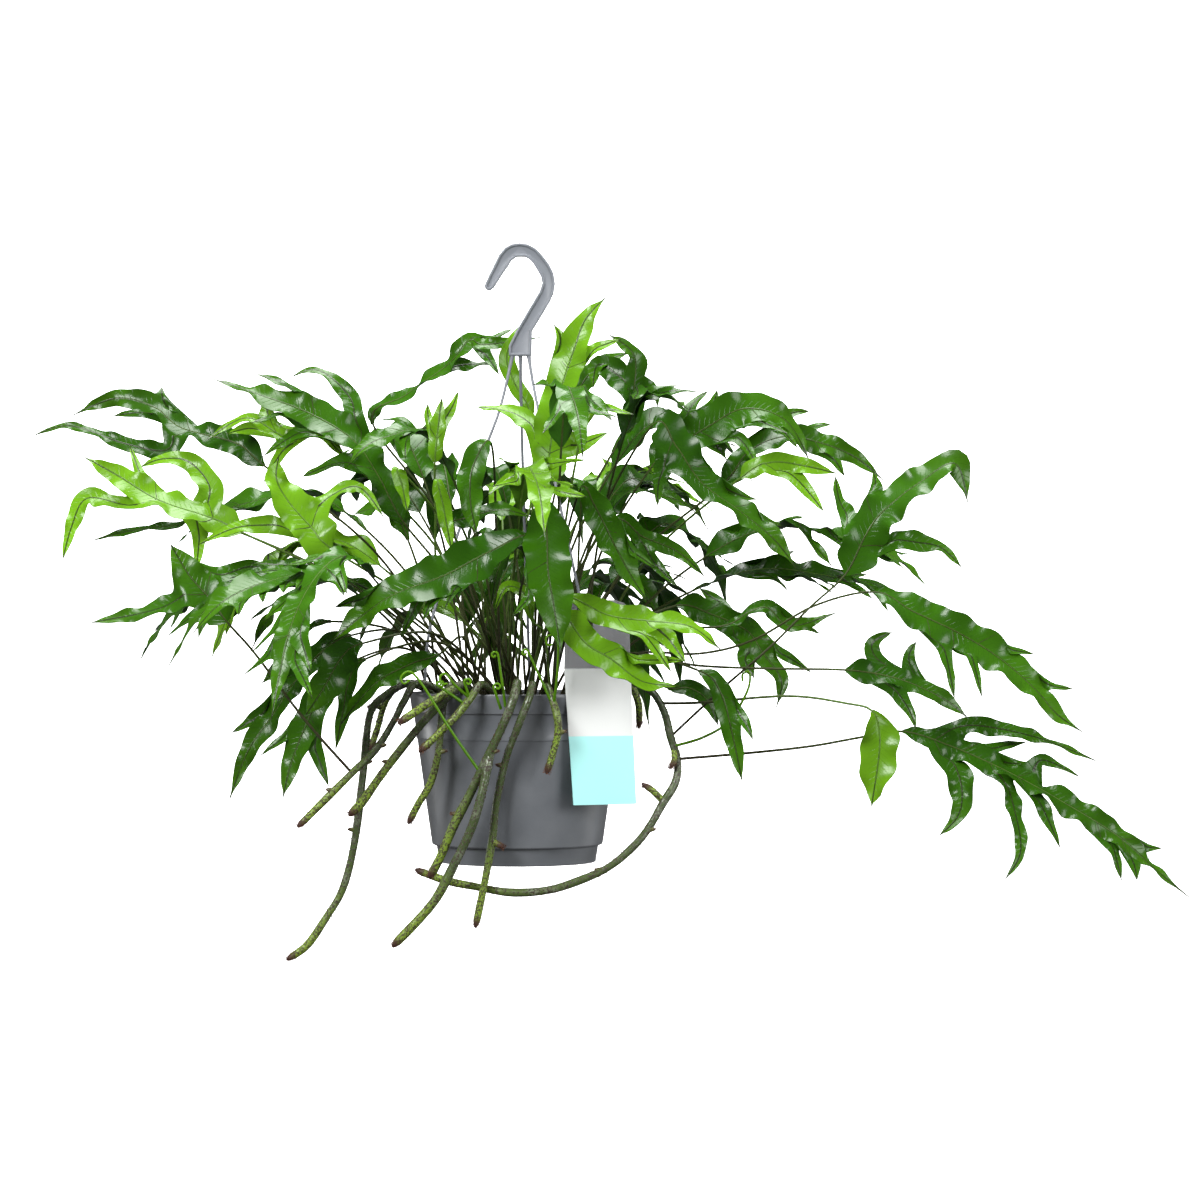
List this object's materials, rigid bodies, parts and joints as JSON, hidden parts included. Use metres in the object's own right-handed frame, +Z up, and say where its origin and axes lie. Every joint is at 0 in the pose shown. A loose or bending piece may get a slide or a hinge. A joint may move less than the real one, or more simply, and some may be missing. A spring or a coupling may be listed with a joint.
{
  "type": "kangaroo fern in a hanging pot",
  "caption": "Kangaroo fern with lobed, wavy fronds and creeping rhizomes in a plastic hanging pot on a three-strand hook.",
  "frame": {"origin": "inside top of the hook, where it hangs on a rod or wall hook", "axes": "+Z up along the pot's axis, +X along the plant's longest spread and the hook's flat side, -Y towards the label"},
  "size_m": [1.016, 0.5549, 0.6277],
  "materials": {
    "pot_plastic": "dark blue-grey moulded pot, faintly glossy",
    "hook_plastic": "mid grey moulded hook and strands",
    "potting_mix": "dark brown fibrous potting mix",
    "label_card": "printed plastic card, white and turquoise under a grey head, with no words",
    "rhizome": "yellow-green rhizome under dark brown scales",
    "old_frond": "deep green glossy frond with a dark rib",
    "young_frond": "yellow-green glossy young frond"
  },
  "bodies": {
    "root": {"frond_centre_tall": "young_frond", "frond_front_left_strap": "old_frond", "frond_front_low": "old_frond", "frond_front_strap": "old_frond", "frond_left_bright": "young_frond", "frond_left_broad": "old_frond", "frond_left_low": "old_frond", "frond_left_pale": "young_frond", "frond_right_arch": "old_frond", "frond_right_dark": "old_frond", "frond_right_glossy": "old_frond", "frond_right_long_strap": "old_frond", "frond_right_low_lobed": "old_frond", "frond_star": "young_frond", "fronds_behind_hook": "old_frond", "fronds_centre_hanging": "old_frond", "fronds_front_right": "young_frond", "fronds_inner_1": "old_frond", "fronds_inner_10": "old_frond", "fronds_inner_11": "old_frond", "fronds_inner_12": "old_frond", "fronds_inner_13": "old_frond", "fronds_inner_14": "old_frond", "fronds_inner_15": "old_frond", "fronds_inner_16": "old_frond", "fronds_inner_17": "old_frond", "fronds_inner_18": "old_frond", "fronds_inner_19": "old_frond", "fronds_inner_2": "old_frond", "fronds_inner_20": "old_frond", "fronds_inner_23": "old_frond", "fronds_inner_3": "old_frond", "fronds_inner_4": "old_frond", "fronds_inner_5": "old_frond", "fronds_inner_6": "old_frond", "fronds_inner_7": "old_frond", "fronds_inner_9": "old_frond", "fronds_left_front_low": "old_frond", "fronds_left_ribbons": "old_frond", "fronds_left_top": "old_frond", "fronds_right_bright": "young_frond", "fronds_right_drooping": "old_frond", "fronds_right_hanging": "old_frond", "fronds_right_wavy": "old_frond", "fronds_small_front": "young_frond", "hanger": "hook_plastic", "plant_label": "label_card", "pot": "pot_plastic", "potting_mix": "potting_mix", "rhizome_front_long": "rhizome", "rhizome_front_right": "rhizome", "rhizome_left_behind": "rhizome", "rhizome_left_brown": "rhizome", "rhizome_left_front": "rhizome", "rhizome_left_long": "rhizome", "rhizome_left_short": "rhizome", "rhizome_left_upper": "rhizome", "rhizome_right_arc": "rhizome", "rhizome_right_short": "rhizome", "rhizome_small_arch": "rhizome"}
  },
  "joints": []
}
